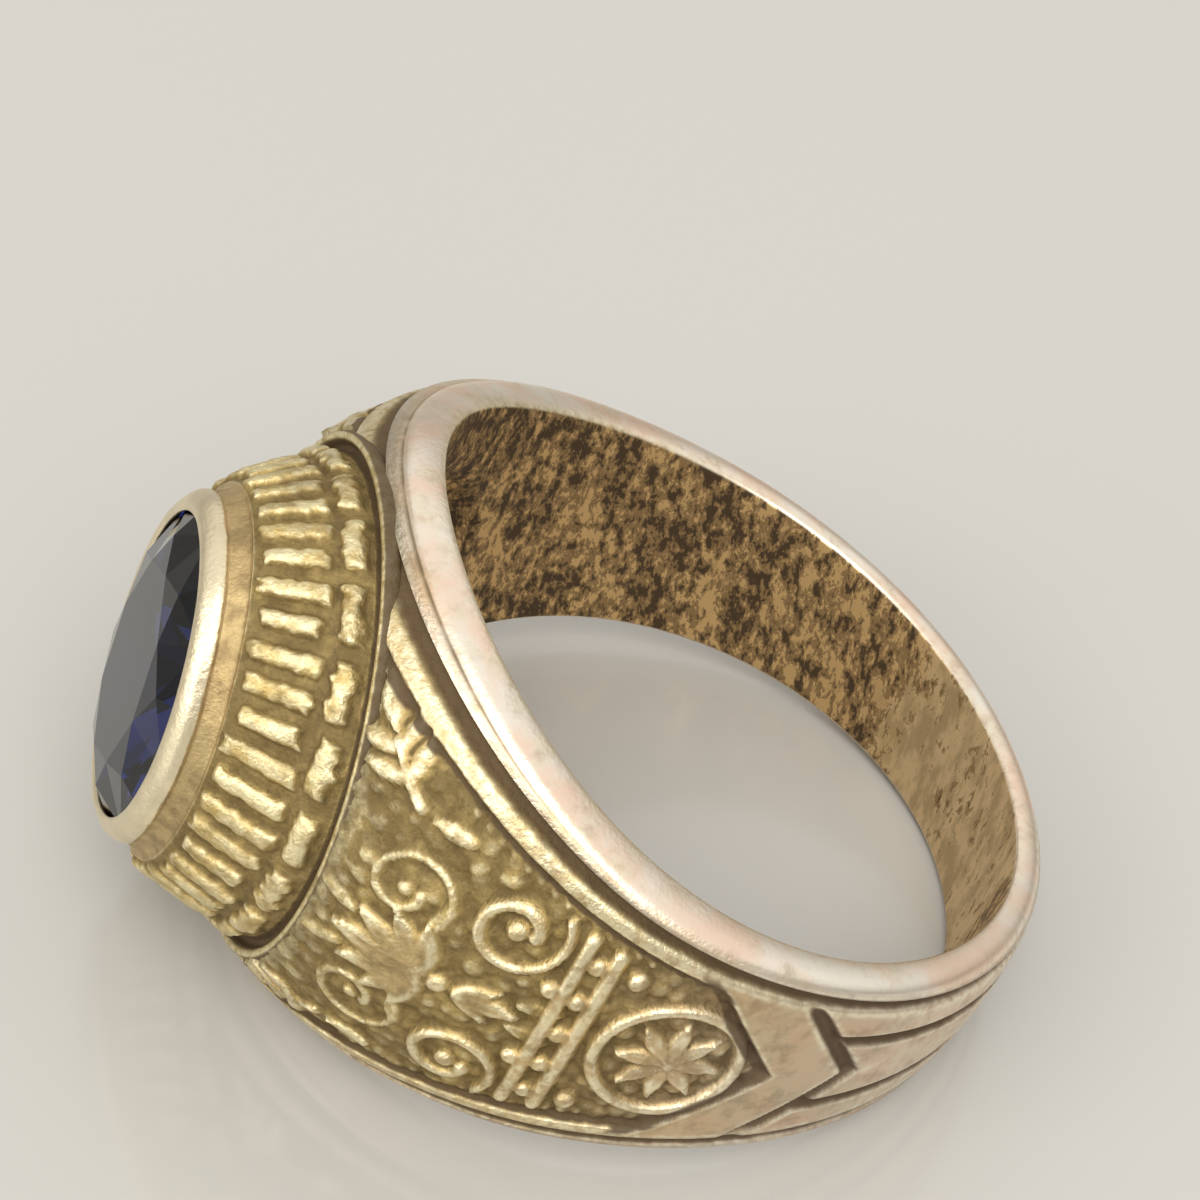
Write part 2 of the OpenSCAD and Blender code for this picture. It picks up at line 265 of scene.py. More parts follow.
def beaded_bars(u, v):
    """Two bars across the shoulder with a row of beads between them."""
    shapes = []
    for angle in (61.8, 65.8):
        ends = [place(angle, share) for share in (0, 0.86)]
        shapes.append(stroke(u, v, ends, STROKE_W * 1.1))
    for share in (0, 0.35, 0.7):
        shapes.append(bead(u, v, place(63.8, share)))
    return shapes


def medallion(u, v):
    """A round ring with eight petals."""
    middle, petals = place(78.5, 0), 8
    ring = [middle + np.array(turned(MEDAL_R, 0, k * 9)) for k in range(40)]
    shapes = [stroke(u, v, ring, closed=True), bead(u, v, middle)]
    for k in range(petals):
        turn = k * 360 / petals
        shapes.append(leaf(u, v, middle + np.array(turned(0.12, 0, turn)), turn, 0.85))
    return shapes


def fillings(u, v):
    """A leaf and two beads in the gaps between the other motifs."""
    beads = [bead(u, v, middle) for middle in (place(60.3, 0.36), place(69.2, 0.74))]
    return [leaf(u, v, place(44.5, 0.85), 180, 0.75)] + beads


MOTIFS = (sprig, palmette, volute, tendril, beaded_bars, medallion, fillings)


def ornament(angle, w):
    """Height of the ornament over the sunk field, as a share of the relief's height."""
    u, v = np.abs(angle) * PER_DEGREE, np.abs(w)
    return np.max([shape for motif in MOTIFS for shape in motif(u, v)], axis=0)


print("motifs:", [motif.__name__ for motif in MOTIFS])

# %% [markdown]
# ## The cast ground
#
# The ground between the motifs isn't smooth: it is lumpy and grained as cast silver is. Soft lumps and
# round grains give it that, both worked out from one square of seeded numbers, and a row of larger grains
# runs along the border.

# %% Lumps and grains of the ground
LUMP_H, LUMP_PITCH = 0.1, 0.7
GRAIN_H, GRAIN_PITCH = 0.14, 0.46
ROW_H, ROW_PITCH, ROW_INSET, ROW_FROM, ROW_TO = 0.17, 0.42, 0.24, 38, 74
SIDE = 64
LUMPS = np.random.default_rng(11).random((SIDE, SIDE))
# The ground starts this far into the pattern, in mm
GROUND_FROM = 40


def seeded(i, j):
    return LUMPS[i % SIDE, j % SIDE]


def lumpy(u, v, pitch):
    """Smooth seeded bumps between 0 and 1, one every pitch mm."""
    x, y = u / pitch, v / pitch
    i, j = np.floor(x).astype(int), np.floor(y).astype(int)
    fx, fy = ease(x - i), ease(y - j)
    low = mix(seeded(i, j), seeded(i + 1, j), fx)
    high = mix(seeded(i, j + 1), seeded(i + 1, j + 1), fx)
    return mix(low, high, fy)


def round_grains(u, v, pitch):
    """Round grains between 0 and 1, of uneven size and set unevenly, one every pitch mm."""
    i, j = np.floor(u / pitch).astype(int), np.floor(v / pitch).astype(int)
    highest = 0 * u
    for a, b in [(i + di, j + dj) for di in (-1, 0, 1) for dj in (-1, 0, 1)]:
        aside, along = seeded(a, b) - 0.5, seeded(a + 17, b + 31) - 0.5
        size = 0.36 + 0.34 * seeded(a + 5, b + 47)
        gap = np.hypot(u / pitch - a - 0.5 - 0.8 * aside, v / pitch - b - 0.5 - 0.8 * along) / size
        highest = np.maximum(highest, size * np.sqrt(np.clip(1 - gap ** 2, 0, 1)))
    return highest / 0.7


def ground(angle, w):
    """Height of the cast ground in mm: lumps, grains, and a row of larger grains inside the border."""
    u = angle * PER_DEGREE
    x, y = u + GROUND_FROM, w + GROUND_FROM
    lumps = LUMP_H * lumpy(x, y, LUMP_PITCH) ** 2 + GRAIN_H * round_grains(x, y, GRAIN_PITCH)
    inset = half_width(angle) - FIELD_IN - np.abs(w) - ROW_INSET
    gap = np.hypot(((u / ROW_PITCH) % 1 - 0.5) * ROW_PITCH, inset)
    on_row = ease((np.abs(angle) - ROW_FROM) / 3) * ease((ROW_TO - np.abs(angle)) / 3)
    row = ROW_H * np.sqrt(np.clip(1 - (gap / ROW_H) ** 2, 0, 1)) * on_row
    return np.maximum(lumps, row)


middle_line = ground(np.linspace(40, 70, 99), np.zeros(99))
print("the ground's lumps rise up to", round(float(middle_line.max()), 3), "mm")

# %% [markdown]
# ## Lines along the band
#
# Inside the polished lip run a groove and a raised line. The shoulder's field is sunk behind them, and a
# chevron closes it towards the back. The shank is flush again and has two grooves. All of that is a depth
# under the smooth outer face, written with soft steps so that the edges look cast and worn.

# %% Depth under the smooth face
# The chevron's step: depth in mm, width in degrees, and degrees outside the chevron
STEP_D, STEP_W, STEP_OFF = 0.24, 2.6, 0.9
# How wide the tarnish lies: in mm along the border and on the shank, in degrees at the chevron's ends
SOOT_BORDER_W, SOOT_INNER_W, SOOT_SHANK_W, SOOT_TIP_W, SOOT_START_W = GROOVE_W * 1.5, 0.3, 0.46, 3.8, 3.2


def trench(distance, width):
    return np.exp(-((2 * distance / width) ** 4))


def chevron_angle(angle, w):
    """The angle at which a place would meet the middle line if it slid along the chevron's arms."""
    reach = half_width(CHEVRON_TIP - CHEVRON_RAKE) - LIP_IN
    return np.abs(angle) + CHEVRON_RAKE * np.abs(w) / reach


def on_shank(slid):
    """1 on the shank and 0 before the chevron's tip, for a chevron angle."""
    return ease((slid - CHEVRON_TIP - 0.4) / 2.5)


def off_lip(inset):
    """1 inside the border's groove and 0 on the lip."""
    return ease(inset / LIP_IN - 0.8)


def lines_of(angle, w):
    """1 in the narrow grooves, where tarnish is never rubbed off."""
    inset = half_width(angle) - np.abs(w)
    slid = chevron_angle(angle, w)
    inner = half_width(angle) - FIELD_IN
    border = trench(inset - LIP_W - GROOVE_W / 2, SOOT_BORDER_W)
    on_field = 1 - ease((slid - CHEVRON_TIP + CHEVRON_BAND) / 2)
    inner_border = trench(inset - FIELD_IN - 0.04, SOOT_INNER_W) * on_field
    shank_lines = trench(np.abs(w) - SHANK_LINE * inner, SOOT_SHANK_W) * on_shank(slid)
    tip = trench(slid - CHEVRON_TIP - STEP_OFF, SOOT_TIP_W)
    start = trench(slid - CHEVRON_TIP + CHEVRON_BAND + STEP_OFF, SOOT_START_W)
    chevron_ends = (tip + start) * off_lip(inset)
    return np.clip(np.max([border, inner_border, shank_lines, chevron_ends], axis=0), 0, 1)


def face_depth(angle, w):
    inset = half_width(angle) - np.abs(w)
    inner = half_width(angle) - FIELD_IN
    slid = chevron_angle(angle, w)
    groove = GROOVE_D * trench(inset - LIP_W - GROOVE_W / 2, GROOVE_W * 1.25)
    field = ease((inset - FIELD_IN + GROOVE_W * 0.6) / (GROOVE_W * 0.7))
    shoulder = 1 - ease((slid - CHEVRON_TIP + CHEVRON_BAND + 0.6) / 1.2)
    lines = trench(np.abs(w) - SHANK_LINE * inner, SHANK_LINE_W * 1.6)
    step = STEP_D * trench(slid - CHEVRON_TIP - STEP_OFF, STEP_W) * off_lip(inset)
    rise = np.maximum(ornament(angle, w) * RELIEF_H, ground(angle, w))
    sunk = np.maximum(FIELD_D * field * shoulder - rise * shoulder * field, -0.05)
    return groove + sunk + GROOVE_D * lines * on_shank(slid) * field + step


shoulder_depth = face_depth(np.linspace(40, 100, 99), np.zeros(99))
print("the shoulder's middle line lies up to", round(float(shoulder_depth.max()), 2), "mm deep")

# %% [markdown]
# ## The head's ovals
#
# The head is an oval stepped plate: a ridge and a moat round the foot, a slope with a row of dashes and a
# row of bars, then the collar and the lip. All of it is drawn as ovals, in the head's own skin, and the
# band's skin is cut down underneath, so the two skins meet at the foot of the ridge.

# %% Sizes of the head
BEZEL_H, COLLAR_H, COLLAR_FLARE = 15.2, 1.1, 0.3
LIP_T, LIP_OVER, LIP_EDGE = 0.28, 0.24, 0.12
FOOT_H, FOOT_ACROSS, FOOT_ALONG, RIDGE_W = 11.3, 13.0, 12.8, 0.36
DASHES, BAR_H = 20, 0.28
HOLLOW_ACROSS, HOLLOW_ALONG, HOLLOW_H = 16.4, 11.4, 11.2
STONE_L, STONE_W, CROWN_H, CROWN_W, GIRDLE_H, PAVILION_H = 9.4, 7.6, 0.7, 1.6, 0.3, 2.3
STONE_GAP = 0.06
print(f"the head stands {BEZEL_H - FOOT_H:.1f} mm over its foot")

# %% The cut under the head
# How far it lies under the foot, and its step: depth, place and width, in mm
CUT_UNDER, CUT_STEP, CUT_STEP_OUT, CUT_STEP_W = 0.06, 0.7, 0.5, 0.14
# How steeply it rises outside the ridge, and how far outside the foot it ends, in mm
CUT_RISE, CUT_END = 0.9, 1.6


def outside_foot(y, z):
    """How far a place lies outside the foot's oval, in mm: the oval that grows by that much meets it."""
    grown = np.hypot(y, z) - FOOT_ACROSS / 2
    for _ in range(12):
        a, b = FOOT_ACROSS / 2 + grown, FOOT_ALONG / 2 + grown
        a, b = np.maximum(a, 0.4), np.maximum(b, 0.4)
        value = (y / a) ** 2 + (z / b) ** 2 - 1
        slope = -2 * (y**2 / a**3 + z**2 / b**3)
        grown = grown - value / np.minimum(slope, -1e-6)
    return grown


def under_head(angle, w, radius):
    """The band's radius, cut down under the head so that only the head's own skin shows there."""
    c = np.cos(np.radians(angle))
    front = c > 0.5
    y = FOOT_H * np.tan(np.radians(np.where(front, angle, 0)))
    out = np.where(front, outside_foot(y, w), 9)
    ridge_out = GROOVE_W + RIDGE_W
    cap = FOOT_H - CUT_UNDER + CUT_RISE * np.maximum(out - ridge_out, 0)
    cap = cap - CUT_STEP * ease((CUT_STEP_OUT - out) / CUT_STEP_W)
    # The band comes up again towards the middle, where the head covers it
    cap = cap + np.clip(-out * 1.3, 0, 1.35)
    return np.where(front & (out < CUT_END), np.minimum(radius, cap / np.maximum(c, 0.5)), radius)


# %% [markdown]
# ## The band's skin
#
# The skin is one closed grid: columns round the finger, rows round the section. Rows run over the outer
# face, round the rim, through the bore and back. The columns are packed closely on the shoulders, where
# the ornament is, and widely at the back. The hollow behind the head is found by walking outwards from
# the bore until the wall of the hollow is met.

# %% Columns and rows of the grid
def spaced(stops, steps):
    parts = [np.linspace(a, b, n, endpoint=False) for a, b, n in zip(stops, stops[1:], steps)]
    return np.concatenate(parts)


COLUMN_ANGLES = spaced([-180, -109, -94, -36, 36, 94, 109, 180], [34, 26, 136, 98, 136, 26, 34])
BORDER_INSETS = np.array([
    0.36, 0.43, 0.48, 0.52, 0.56, 0.6, 0.64, 0.68, 0.74, 0.82, 0.91, 1.0, 1.06, 1.12, 1.18,
])
FIELD_SHARES = np.linspace(1, -1, 108)
BORE_SHARES = np.linspace(-1, 1, 34)
# Round the rim from the lip to the bore: share of the rim's thickness, and inset in mm
RIM_ROUND = np.array([
    [0.985, 0.29], [0.95, 0.2], [0.88, 0.12], [0.76, 0.05], [0.58, 0.012],
    [0.38, 0.0], [0.2, 0.012], [0.09, 0.04], [0.025, 0.09],
])
# The hollow's roof over shares of its oval, as shares of its height
ROOF_SHARES = [0, 0.5, 0.7, 0.88, 1, 1.001]
ROOF_HEIGHTS = [1, 1, 0.95, 0.8, 0.6, 0]
HOLLOW_REACH, HOLLOW_LEVELS = 11.9, 60


def hollow_radius(angle, w):
    """Radius of the inside: the bore, or the wall of the hollow behind the head."""
    radius = np.full_like(w, BORE_R)
    for r in np.linspace(BORE_R, HOLLOW_REACH, HOLLOW_LEVELS):
        x, y = r * np.cos(np.radians(angle)), r * np.sin(np.radians(angle))
        share = np.hypot(y / (HOLLOW_ACROSS / 2), w / (HOLLOW_ALONG / 2))
        roof = HOLLOW_H * np.interp(share, ROOF_SHARES, ROOF_HEIGHTS)
        radius = np.where((x > 0) & (x < roof), r, radius)
    return radius


def blurred(values, times):
    """Each value shared with its neighbours on the grid, round the ring and across it."""
    for _ in range(times):
        values = (np.roll(values, 1, 0) + 2 * values + np.roll(values, -1, 0)) / 4
        padded = np.pad(values, ((0, 0), (1, 1)), mode="edge")
        values = (padded[:, :-2] + 2 * values + padded[:, 2:]) / 4
    return values


print("columns:", len(COLUMN_ANGLES), "rows across the field:", len(FIELD_SHARES))

# %% Work out the band's skin
def all_rows(outer, rim, bore):
    """Rows round the section: the outer face, a rim, the bore, and the other rim in mirror order."""
    return np.hstack([outer, rim, bore, rim[:, ::-1]])


def band_skin():
    angle = COLUMN_ANGLES[:, None]
    hw = half_width(angle)
    border = hw - BORDER_INSETS[None, :]
    w = np.hstack([border, FIELD_SHARES[None, :] * (hw - FIELD_IN), -border[:, ::-1]])
    a = angle + 0 * w
    depth = face_depth(a, w)
    r_out = under_head(a, w, face_radius(a, w) - depth)
    r_rim = BORE_R + (rim_radius(angle) - BORE_R) * RIM_ROUND[None, :, 0]
    w_rim = hw - RIM_ROUND[None, :, 1]
    w_in = BORE_SHARES[None, :] * (hw - 0.16)
    r_in = blurred(hollow_radius(angle + 0 * w_in, w_in), 3)
    no_rim, no_bore = 0 * r_rim, 0 * r_in
    # The rim is rubbed brightest along its crown: wear, and a painted highlight there as well
    rim_rub_and_highlight = np.sin(np.linspace(0.15, 0.95, len(RIM_ROUND)) * math.pi)
    lip_rub = 0.55 * ease((LIP_W - hw + np.abs(w)) / 0.1)
    marks = {
        "recess": all_rows(depth, no_rim, no_bore),
        "inside": all_rows(0 * w, no_rim, no_bore + 1),
        "hollow": all_rows(0 * w, no_rim, np.clip((r_in - BORE_R) * 4, 0, 1)),
        "soot_and_collar_shade": all_rows(lines_of(a, w), no_rim, no_bore),
        "raised": all_rows(0.5 * ornament(a, w) * (depth < FIELD_D * 0.8), no_rim, no_bore),
        "rubbed_and_highlight": all_rows(lip_rub, no_rim + rim_rub_and_highlight, no_bore),
    }
    r = all_rows(r_out, r_rim, r_in)
    turn = np.radians(angle + 0 * r)
    z = np.hstack([w, -w_rim, w_in, w_rim[:, ::-1]])
    return r * np.cos(turn), r * np.sin(turn), z, marks


band_x, band_y, band_z, band_marks = band_skin()
print("band grid:", band_x.shape, "triangles:", 2 * band_x.size)

# %% A grid of places as a mesh
def grid_mesh(name, places, wrap_rows=True, caps=False):
    """A closed skin over columns and rows of places. Columns always close up on themselves."""
    columns, rows = places.shape[:2]
    index = np.arange(columns * rows).reshape(columns, rows)
    nxt = np.roll(index, -1, 0)
    if wrap_rows:
        quads = np.stack([index, np.roll(index, -1, 1), np.roll(nxt, -1, 1), nxt], -1)
    else:
        quads = np.stack([index[:, :-1], index[:, 1:], nxt[:, 1:], nxt[:, :-1]], -1)
    faces = quads.reshape(-1, 4).tolist()
    if caps:
        faces += [index[:, 0].tolist(), index[:, -1].tolist()[::-1]]
    mesh = bpy.data.meshes.new(name)
    mesh.from_pydata(places.reshape(-1, 3).tolist(), [], faces)
    mesh.shade_smooth()
    piece = bpy.data.objects.new(name, mesh)
    bpy.context.scene.collection.objects.link(piece)
    return piece


def write_marks(piece, marks):
    """Values that the materials read, one for each place of the grid."""
    for name, values in marks.items():
        layer = piece.data.attributes.new(name, "FLOAT", "POINT")
        layer.data.foreach_set("value", values.reshape(-1).astype(np.float32))


band = grid_mesh("band", laid(band_x, band_y, band_z))
print("band:", len(band.data.polygons), "faces")

# %% [markdown]
# ## The head's skin
#
# The head is drawn as ovals stacked from the moat up to the lip, then down into the seat under the stone.
# Each oval has 720 columns, so the bars come out of the slope as a height map in the same way as the
# ornament. Real bars of this kind are cast and worn: their tops are round and no two are quite alike,
# which a little seeded randomness gives.

# %% A smooth profile through a few heights
def through(points, per_step):
    """A smooth line through rows of values, with per_step places in each step."""
    p = np.array(points, float)
    p = np.vstack([2 * p[0] - p[1], p, 2 * p[-1] - p[-2]])
    t = np.linspace(0, 1, per_step, endpoint=False)[:, None]
    parts = []
    for a, b, c, d in zip(p, p[1:], p[2:], p[3:]):
        square, cube = 2 * a - 5 * b + 4 * c - d, 3 * b - a - 3 * c + d
        parts.append(0.5 * (2 * b + (c - a) * t + square * t**2 + cube * t**3))
    return np.vstack(parts + [p[-2:-1]])


# %% Bars and dashes as heights over the slope
rng = np.random.default_rng(7)
HEAD_COLUMNS = 720
BAR_LEAN = rng.normal(0, 0.35, 2 * DASHES)
BAR_TOP = 1 - np.abs(rng.normal(0, 0.12, 2 * DASHES))
BAR_SIDE = rng.normal(0, 0.04, 2 * DASHES)
BAR_END = np.abs(rng.normal(0, 0.035, 2 * DASHES))
# Each row: from and to as shares of the slope, from and to within its pitch, and powers across and up
BAR_ROW = {"rows": (0.31, 0.97), "fill": (0.02, 0.68), "powers": (2.6, 9)}
DASH_ROW = {"rows": (0.045, 0.26), "fill": (0.05, 0.86), "powers": (7, 2.4)}


def raised_row(turn, share, rows, fill, powers, top, lean=None, side=None, end=None):
    """A row of raised bars, one for each top. Turn is in degrees round the oval, share is up the slope.

    High powers give flat tops and square ends. Lean and side shift a bar, and end makes it shorter.
    """
    (low, high), (start, stop), count = rows, fill, len(top)
    pitch = 360 / count
    k = np.floor(turn / pitch).astype(int) % count
    lean, side, end = (0 * top if given is None else given for given in (lean, side, end))
    within = (turn / pitch) % 1 - lean[k] / pitch * (share - (low + high) / 2) - side[k]
    across = np.abs(within - (start + stop) / 2) / (stop - start) * 2
    up = np.abs(share - (low + high) / 2) / (high - low - 2 * end[k]) * 2
    crown = np.sqrt(np.clip(1 - across ** powers[0], 0, 1)) * np.sqrt(np.clip(1 - up ** powers[1], 0, 1))
    return crown * top[k]


def grow(oval, out, up):
    """An oval, as (half across, half along, height), that grows by out on every side and rises by up."""
    return oval + [out, out, up]


print("bars:", len(BAR_TOP), "dashes:", DASHES)

# %% The head's profile
# Each row is how far it lies outside the foot's oval and over the foot, in mm
UNDER = [(-3.5, 0.25), (-1, 0.15), (-0.2, -0.35), (0.2, -0.6)]
RIDGE = [
    (0.45, -0.6), (0.57, -0.4), (0.61, -0.22), (0.6, -0.13), (0.57, -0.06), (0.52, -0.015), (0.46, 0),
    (0.4, -0.015), (0.35, -0.055), (0.31, -0.11), (0.28, -0.17), (0.255, -0.22), (0.235, -0.26),
]
MOAT = [(0.17, -0.285), (0.11, -0.29), (0.06, -0.25), (0.03, -0.16), (0.01, -0.06)]
SLOPE_ROWS = 60


def head_profile():
    """Rows of the head as ovals, the share up the slope of each, and where the lip starts and ends."""
    foot = np.array([FOOT_ACROSS / 2, FOOT_ALONG / 2, FOOT_H])
    lip = np.array([STONE_W / 2 + LIP_T, STONE_L / 2 + LIP_T, BEZEL_H])
    collar = grow(lip, COLLAR_FLARE, -COLLAR_H)
    slope_top = grow(collar, GROOVE_W / 2, 0)
    girdle_top = BEZEL_H - LIP_EDGE - LIP_OVER * CROWN_H / CROWN_W - STONE_GAP
    girdle_low = girdle_top - GIRDLE_H
    stone = np.array([STONE_W / 2, STONE_L / 2, 0])
    start = [grow(foot, out, up) for out, up in UNDER + RIDGE + MOAT]
    slope_shares = np.linspace(0.02, 0.985, SLOPE_ROWS)
    slope = [mix(foot, slope_top, s) for s in slope_shares]
    lip_steps = [
        (0.1, -0.62 * COLLAR_H), (0.085, -0.54 * COLLAR_H), (0.105, -0.46 * COLLAR_H),
        (0.05, -0.28 * COLLAR_H), (-0.35 * LIP_T, -0.12 * COLLAR_H), (-0.95 * LIP_T, -0.02),
        (-LIP_T - 0.6 * LIP_OVER, 0), (-LIP_T - LIP_OVER, -0.05),
    ]
    side = [slope_top, grow(collar, 0.01, 0.05)] + [grow(lip, out, up) for out, up in lip_steps]
    side = through(side, 5)
    seat = [
        grow(stone, -LIP_OVER, BEZEL_H - LIP_EDGE),
        grow(stone, STONE_GAP, girdle_top + STONE_GAP),
        grow(stone, STONE_GAP, girdle_low - STONE_GAP),
    ]
    for share in (0.92, 0.5, 0.12):
        height = girdle_low - mix(PAVILION_H, 0, share) - 2 * STONE_GAP
        seat.append(stone * share + [STONE_GAP, STONE_GAP, height])
    rows = np.vstack([start, slope, side, seat])
    shares = np.concatenate([np.full(len(start), -1.0), slope_shares, np.full(len(side) + len(seat), 2.0)])
    lip_from = len(start) + SLOPE_ROWS
    return rows, shares, lip_from, lip_from + len(side)


rows, slope_share, lip_from, lip_to = head_profile()
print("rows of the head:", len(rows))

# %% The head's places
# How far the bars' sides wander, in degrees, and their ends, as a share of the slope
HAND_TURN, HAND_SHARE = 1.1, 0.07
SLOPE_ROUGH = 0.05
# The lip was rubbed over by hand, so its outer edge wanders: mm, waves round the oval, and degrees
LIP_WAVES = [(0.025, 3, 40), (0.018, 7, 0), (0.012, 17, 90)]
turn = np.arange(HEAD_COLUMNS)[:, None] * 360 / HEAD_COLUMNS
share = slope_share[None, :] + 0 * turn
on_slope = (share > 0) & (share < 1)
hand_turn = turn + HAND_TURN * (lumpy(turn / 4.2, share * 12 + 9, 0.9) - 0.5)
hand_share = share + HAND_SHARE * (lumpy(turn / 2.4 + 30, share * 9 + 4, 0.8) - 0.5)
bars = raised_row(hand_turn, hand_share, **BAR_ROW, top=BAR_TOP, lean=BAR_LEAN, side=BAR_SIDE, end=BAR_END)
dashes = raised_row(hand_turn, hand_share, **DASH_ROW, top=np.ones(DASHES))
raised = np.where(on_slope, np.maximum(bars, dashes), 0)
rough = np.where(on_slope, SLOPE_ROUGH * lumpy(turn / 4.2, share * 14, 1.0), 0)
lift = BAR_H * raised + rough * (1 - 0.6 * raised)
wander = sum(size * np.sin(np.radians(waves * turn + phase)) for size, waves, phase in LIP_WAVES)
on_lip = np.zeros(len(rows))
on_lip[lip_from:lip_to] = np.sin(np.linspace(0, math.pi, lip_to - lip_from)) ** 0.7
out = 0.8 * lift + wander * on_lip
head_y = (rows[None, :, 0] + out) * np.cos(np.radians(turn))
head_z = (rows[None, :, 1] + out) * np.sin(np.radians(turn))
head_x = rows[None, :, 2] + 0.6 * lift
head = grid_mesh("head", laid(head_x, head_y, head_z), wrap_rows=False, caps=True)
print("head:", head_x.shape, "triangles:", 2 * head_x.size)

# %% [markdown]
# ## What wear, tarnish, painted shade and painted highlights follow
#
# Silver darkens where nothing rubs it and shines where everything does. Here the darkening in recesses,
# creases, the collar's side and the seat under the stone is also painted shade, and the shine on crests,
# the lip, the tops and the rim is also a painted highlight. The materials read that from values kept on the
# skins: how deep a place lies, how far it stands out from its neighbours, how gilt, sooty or rubbed the
# metal is there, how far round the finger it is, and the flow that the bore's streaks follow: a copy of the
# bore that leans a little and is pressed flat along the finger.

# %% How far each place stands out from its neighbours
CREST_BLUR, CREST_REACH = 7, 0.06


def crest(places, times, reach):
    """1 on an edge that stands out by reach mm, -1 in a crease as deep."""
    smooth = places
    for _ in range(times):
        smooth = (np.roll(smooth, 1, 0) + 2 * smooth + np.roll(smooth, -1, 0)) / 4
        smooth = (np.roll(smooth, 1, 1) + 2 * smooth + np.roll(smooth, -1, 1)) / 4
    across = np.roll(places, -1, 0) - np.roll(places, 1, 0)
    along = np.roll(places, -1, 1) - np.roll(places, 1, 1)
    normal = np.cross(across, along)
    normal /= np.maximum(np.linalg.norm(normal, axis=2, keepdims=True), 1e-12)
    return np.clip(((places - smooth) * normal).sum(2) / reach, -1, 1)


band_places = np.stack([band_x, band_y, band_z], 2)
head_places = np.stack([head_x, head_y, head_z], 2)
# The band's rows run the other way, so they are turned to have their normals point outwards
band_crest = crest(band_places[:, ::-1], CREST_BLUR, CREST_REACH)[:, ::-1]
head_crest = crest(head_places, CREST_BLUR, CREST_REACH)
for name, values in (("band", band_crest), ("head", head_crest)):
    print("crest of the", name, values.min().round(2), "to", values.max().round(2))

# %% Write the values on the skins
# The streaks in the bore: radians of lean for each mm along the finger, and how flat they are pressed
STREAK_LEAN, STREAK_FLAT = -0.02, 0.55
# The gilt look ends at this angle from the head and fades over so many degrees before it
GILT_END, GILT_FADE = 112, 55


def write_flow(piece, x, y, z):
    lean = STREAK_LEAN * z
    turned_x = x * np.cos(lean) - y * np.sin(lean)
    turned_y = x * np.sin(lean) + y * np.cos(lean)
    flow = np.stack([turned_x, turned_y, z * STREAK_FLAT], 2).reshape(-1).astype(np.float32)
    piece.data.attributes.new("flow", "FLOAT_VECTOR", "POINT").data.foreach_set("vector", flow)


side_rows = np.zeros(len(rows))
side_rows[lip_from:lip_to] = 1
lip_rows = side_rows * ease((rows[:, 2] - BEZEL_H + 0.6 * COLLAR_H) / (0.25 * COLLAR_H))
seat_rows = np.zeros(len(rows))
seat_rows[lip_to:] = 1
foot_depth = np.where(slope_share < 0, np.clip(FOOT_H - rows[:, 2], 0, 0.4), 0)
moat_rows = ease((foot_depth + 0.02) / 0.12)
between_rows = on_slope * trench(share - 0.29, 0.06)
recess = np.where(on_slope, (1 - raised) * BAR_H, 0) + foot_depth
nothing = 0 * recess
# Soot fills the moat and lies between the dashes and the bars; the collar's side is a little darker as
# painted shade
head_soot_and_collar_shade = np.maximum(nothing + np.maximum(moat_rows, 0.3 * (side_rows - lip_rows)), 0.5 * between_rows)
write_marks(head, {
    "recess": recess, "crest": head_crest, "inside": nothing, "hollow": nothing + seat_rows,
    "lip": nothing + lip_rows, "gilt": nothing + 1 - 0.25 * side_rows - 0.35 * lip_rows,
    "around": nothing, "soot_and_collar_shade": head_soot_and_collar_shade, "raised": raised, "rubbed_and_highlight": nothing,
})
write_flow(head, head_x, head_y, head_z)
band_angle = np.degrees(np.arctan2(band_y, band_x))
gilt = ease((GILT_END - np.abs(band_angle)) / GILT_FADE) * (0.75 + 0.25 * ease(band_marks["recess"] / 0.12))
gilt = gilt * (1 - 0.8 * band_marks["rubbed_and_highlight"])
write_marks(band, {
    **band_marks, "crest": band_crest, "lip": 0 * band_crest, "gilt": gilt,
    "around": np.abs(band_angle) * BORE_R * math.pi / 180,
})
write_flow(band, band_x, band_y, band_z)
print("values on the band:", sorted(name for name in band.data.attributes.keys() if name.isalpha()))

# %% The casting's two skins stand for one solid
for piece in (band, head):
    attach(piece, "root")
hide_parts("ring_body")
stone = frame["nodes"]["stone"]
print("pieces:", band.name, head.name, stone.name)
